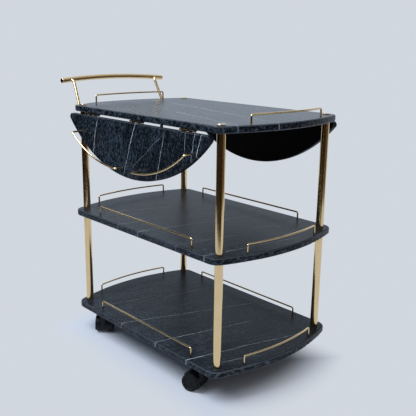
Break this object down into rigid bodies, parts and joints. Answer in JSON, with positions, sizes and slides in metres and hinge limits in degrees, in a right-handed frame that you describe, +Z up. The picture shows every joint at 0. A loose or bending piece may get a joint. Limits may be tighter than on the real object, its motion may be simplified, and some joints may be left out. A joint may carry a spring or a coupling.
{
  "type": "folding tea trolley",
  "caption": "Stone-shelved tea trolley on swivel casters, with drop leaves on both long sides, brass posts, gallery rails and a push handle.",
  "frame": {"origin": "on the floor below the middle of the overall box, leaves hanging", "axes": "+X to the front, away from the handle; +Y to the left of someone who pushes it; +Z up"},
  "size_m": [0.8049, 0.545, 0.8005],
  "materials": {
    "stone": "honed",
    "brass": "polished",
    "steel": "plain",
    "rubber": "matte",
    "black_plastic": "matte",
    "black_tread": "matte"
  },
  "bodies": {
    "trolley": {"bottom_shelf": "stone", "middle_shelf": "stone", "top_shelf": "stone", "lower_post_front_left": "brass", "lower_post_front_right": "brass", "lower_post_rear_left": "brass", "lower_post_rear_right": "brass", "upper_post_front_left": "brass", "upper_post_front_right": "brass", "upper_post_rear_left": "brass", "upper_post_rear_right": "brass", "tie_rods": "steel", "post_caps": "brass", "foot_nuts": "steel", "bottom_rail_front": "brass", "bottom_rail_rear": "brass", "bottom_rail_left": "brass", "bottom_rail_right": "brass", "middle_rail_front": "brass", "middle_rail_rear": "brass", "middle_rail_left": "brass", "middle_rail_right": "brass", "top_rail_front": "brass", "top_rail_rear": "brass", "handle_bar": "brass", "handle_rods": "brass", "handle_clamps": "brass", "hinge_fixed_flaps": "brass", "hinge_pins": "steel", "support_guides": "steel", "leaf_bumpers": "rubber", "caster_mounts": "steel"},
    "left_leaf_body": {"left_leaf": "stone", "left_leaf_rail_front": "brass", "left_leaf_rail_rear": "brass", "left_leaf_flaps": "brass"},
    "right_leaf_body": {"right_leaf": "stone", "right_leaf_rail_front": "brass", "right_leaf_rail_rear": "brass", "right_leaf_flaps": "brass"},
    "support_bar_front_left_body": {"support_bar_front_left": "steel"},
    "support_bar_front_right_body": {"support_bar_front_right": "steel"},
    "support_bar_rear_left_body": {"support_bar_rear_left": "steel"},
    "support_bar_rear_right_body": {"support_bar_rear_right": "steel"},
    "caster_front_left": {"caster_hood_front_left": "black_plastic", "caster_axle_front_left": "steel"},
    "caster_wheel_front_left_left_body": {"caster_wheel_front_left_left": "black_tread"},
    "caster_wheel_front_left_right_body": {"caster_wheel_front_left_right": "black_tread"},
    "caster_front_right": {"caster_hood_front_right": "black_plastic", "caster_axle_front_right": "steel"},
    "caster_wheel_front_right_left_body": {"caster_wheel_front_right_left": "black_tread"},
    "caster_wheel_front_right_right_body": {"caster_wheel_front_right_right": "black_tread"},
    "caster_rear_left": {"caster_hood_rear_left": "black_plastic", "caster_axle_rear_left": "steel"},
    "caster_wheel_rear_left_left_body": {"caster_wheel_rear_left_left": "black_tread"},
    "caster_wheel_rear_left_right_body": {"caster_wheel_rear_left_right": "black_tread"},
    "caster_rear_right": {"caster_hood_rear_right": "black_plastic", "caster_axle_rear_right": "steel"},
    "caster_wheel_rear_right_left_body": {"caster_wheel_rear_right_left": "black_tread"},
    "caster_wheel_rear_right_right_body": {"caster_wheel_rear_right_right": "black_tread"}
  },
  "joints": [
    {"name": "left_leaf_hinge", "type": "hinge", "parent": "trolley", "child": "left_leaf_body", "pos_m": [0.0405, 0.2232, 0.69975], "axis": [1, 0, 0], "range_deg": [0, 90]},
    {"name": "right_leaf_hinge", "type": "hinge", "parent": "trolley", "child": "right_leaf_body", "pos_m": [0.0405, -0.2232, 0.69975], "axis": [-1, 0, 0], "range_deg": [0, 90]},
    {"name": "support_bar_front_left_slide", "type": "slide", "parent": "trolley", "child": "support_bar_front_left_body", "axis": [0, 1, 0], "range_m": [0, 0.11]},
    {"name": "support_bar_front_right_slide", "type": "slide", "parent": "trolley", "child": "support_bar_front_right_body", "axis": [0, -1, 0], "range_m": [0, 0.11]},
    {"name": "support_bar_rear_left_slide", "type": "slide", "parent": "trolley", "child": "support_bar_rear_left_body", "axis": [0, 1, 0], "range_m": [0, 0.11]},
    {"name": "support_bar_rear_right_slide", "type": "slide", "parent": "trolley", "child": "support_bar_rear_right_body", "axis": [0, -1, 0], "range_m": [0, 0.11]},
    {"name": "caster_swivel_front_left", "type": "hinge", "parent": "trolley", "child": "caster_front_left", "pos_m": [0.2705, 0.193, 0.06], "axis": [0, 0, 1], "continuous": true},
    {"name": "caster_wheel_front_left_left_spin", "type": "hinge", "parent": "caster_front_left", "child": "caster_wheel_front_left_left_body", "pos_m": [0.25406, 0.18568, 0.025], "axis": [-0.4067, 0.9135, 0], "continuous": true},
    {"name": "caster_wheel_front_left_right_spin", "type": "hinge", "parent": "caster_front_left", "child": "caster_wheel_front_left_right_body", "pos_m": [0.25406, 0.18568, 0.025], "axis": [-0.4067, 0.9135, 0], "continuous": true},
    {"name": "caster_swivel_front_right", "type": "hinge", "parent": "trolley", "child": "caster_front_right", "pos_m": [0.2705, -0.193, 0.06], "axis": [0, 0, 1], "continuous": true},
    {"name": "caster_wheel_front_right_left_spin", "type": "hinge", "parent": "caster_front_right", "child": "caster_wheel_front_right_left_body", "pos_m": [0.25359, -0.19916, 0.025], "axis": [-0.342, 0.9397, 0], "continuous": true},
    {"name": "caster_wheel_front_right_right_spin", "type": "hinge", "parent": "caster_front_right", "child": "caster_wheel_front_right_right_body", "pos_m": [0.25359, -0.19916, 0.025], "axis": [-0.342, 0.9397, 0], "continuous": true},
    {"name": "caster_swivel_rear_left", "type": "hinge", "parent": "trolley", "child": "caster_rear_left", "pos_m": [-0.1895, 0.193, 0.06], "axis": [0, 0, 1], "continuous": true},
    {"name": "caster_wheel_rear_left_left_spin", "type": "hinge", "parent": "caster_rear_left", "child": "caster_wheel_rear_left_left_body", "pos_m": [-0.20711, 0.19674, 0.025], "axis": [0.2079, 0.9781, 0], "continuous": true},
    {"name": "caster_wheel_rear_left_right_spin", "type": "hinge", "parent": "caster_rear_left", "child": "caster_wheel_rear_left_right_body", "pos_m": [-0.20711, 0.19674, 0.025], "axis": [0.2079, 0.9781, 0], "continuous": true},
    {"name": "caster_swivel_rear_right", "type": "hinge", "parent": "trolley", "child": "caster_rear_right", "pos_m": [-0.1895, -0.193, 0.06], "axis": [0, 0, 1], "continuous": true},
    {"name": "caster_wheel_rear_right_left_spin", "type": "hinge", "parent": "caster_rear_right", "child": "caster_wheel_rear_right_left_body", "pos_m": [-0.20245, -0.1805, 0.025], "axis": [0.6947, 0.7193, 0], "continuous": true},
    {"name": "caster_wheel_rear_right_right_spin", "type": "hinge", "parent": "caster_rear_right", "child": "caster_wheel_rear_right_right_body", "pos_m": [-0.20245, -0.1805, 0.025], "axis": [0.6947, 0.7193, 0], "continuous": true}
  ]
}
